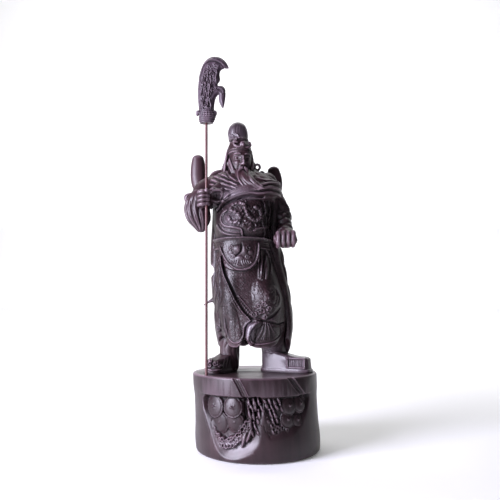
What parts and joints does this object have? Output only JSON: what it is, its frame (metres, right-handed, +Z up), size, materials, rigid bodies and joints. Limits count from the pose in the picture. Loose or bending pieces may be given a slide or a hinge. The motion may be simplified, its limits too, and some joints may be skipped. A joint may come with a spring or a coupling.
{
  "type": "guan yu statue",
  "caption": "Carved dark hardwood statue of a bearded general in cap, armour, robe and cloak, with a crescent-bladed staff in the fist, on a round plinth of the same log.",
  "frame": {"origin": "on the plinth's underside, below the centre of the plinth's top", "axes": "+Z up, the figure's front faces -Y, the staff stands on the -X side"},
  "size_m": [0.2086, 0.1964, 0.5805],
  "materials": {
    "dark_heartwood": "near-black purple-brown hardwood, oiled and polished to a soft gloss",
    "staff_wood": "reddish brown hardwood rod, sanded and oiled",
    "blade_wood": "purple-brown hardwood with carved relief, polished"
  },
  "bodies": {
    "root": {"figure_and_plinth": "dark_heartwood", "staff": "staff_wood", "crescent_blade": "blade_wood"}
  },
  "joints": []
}
